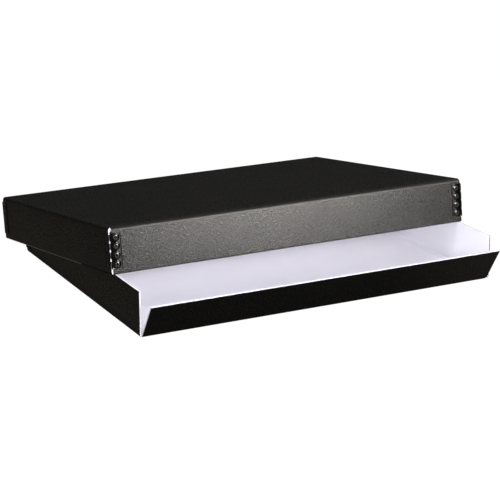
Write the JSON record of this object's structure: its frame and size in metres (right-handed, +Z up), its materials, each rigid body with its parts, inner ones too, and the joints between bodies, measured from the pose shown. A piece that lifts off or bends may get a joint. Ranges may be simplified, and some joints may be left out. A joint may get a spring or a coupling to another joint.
{
  "type": "drop-front archival box",
  "caption": "Shallow archival storage box of folded board with metal-stayed corners, a drop-down front panel and a lift-off lid that telescopes over the tray.",
  "frame": {"origin": "centre of the tray's underside, on the surface that the box stands on", "axes": "+X along the drop front's crease to the right as seen from the front, +Y from the drop front to the rear wall, +Z up"},
  "size_m": [0.3756, 0.3667, 0.0855],
  "materials": {
    "white_board": "matte uncoated white board",
    "black_cover": "black cover paper with a low, slightly pebbled sheen",
    "stay_enamel": "black enamelled steel, semi-gloss"
  },
  "bodies": {
    "tray": {"tray_board": "white_board", "tray_wall_cover": "black_cover", "tray_bottom_cover": "black_cover", "tray_stay_rear_left": "stay_enamel", "tray_stay_rear_right": "stay_enamel"},
    "front": {"drop_front": "white_board", "front_cover": "black_cover"},
    "lid": {"lid_board": "white_board", "lid_cover": "black_cover", "lid_stay_front_left": "stay_enamel", "lid_stay_front_right": "stay_enamel", "lid_stay_rear_left": "stay_enamel", "lid_stay_rear_right": "stay_enamel"}
  },
  "joints": [
    {"name": "front_crease", "type": "hinge", "parent": "tray", "child": "front", "pos_m": [0, -0.14175, 0.00075], "axis": [1, 0, 0], "range_deg": [-32, 58]},
    {"name": "lid_lift", "type": "slide", "parent": "tray", "child": "lid", "axis": [0, 0, 1], "range_m": [0, 0.06]}
  ]
}
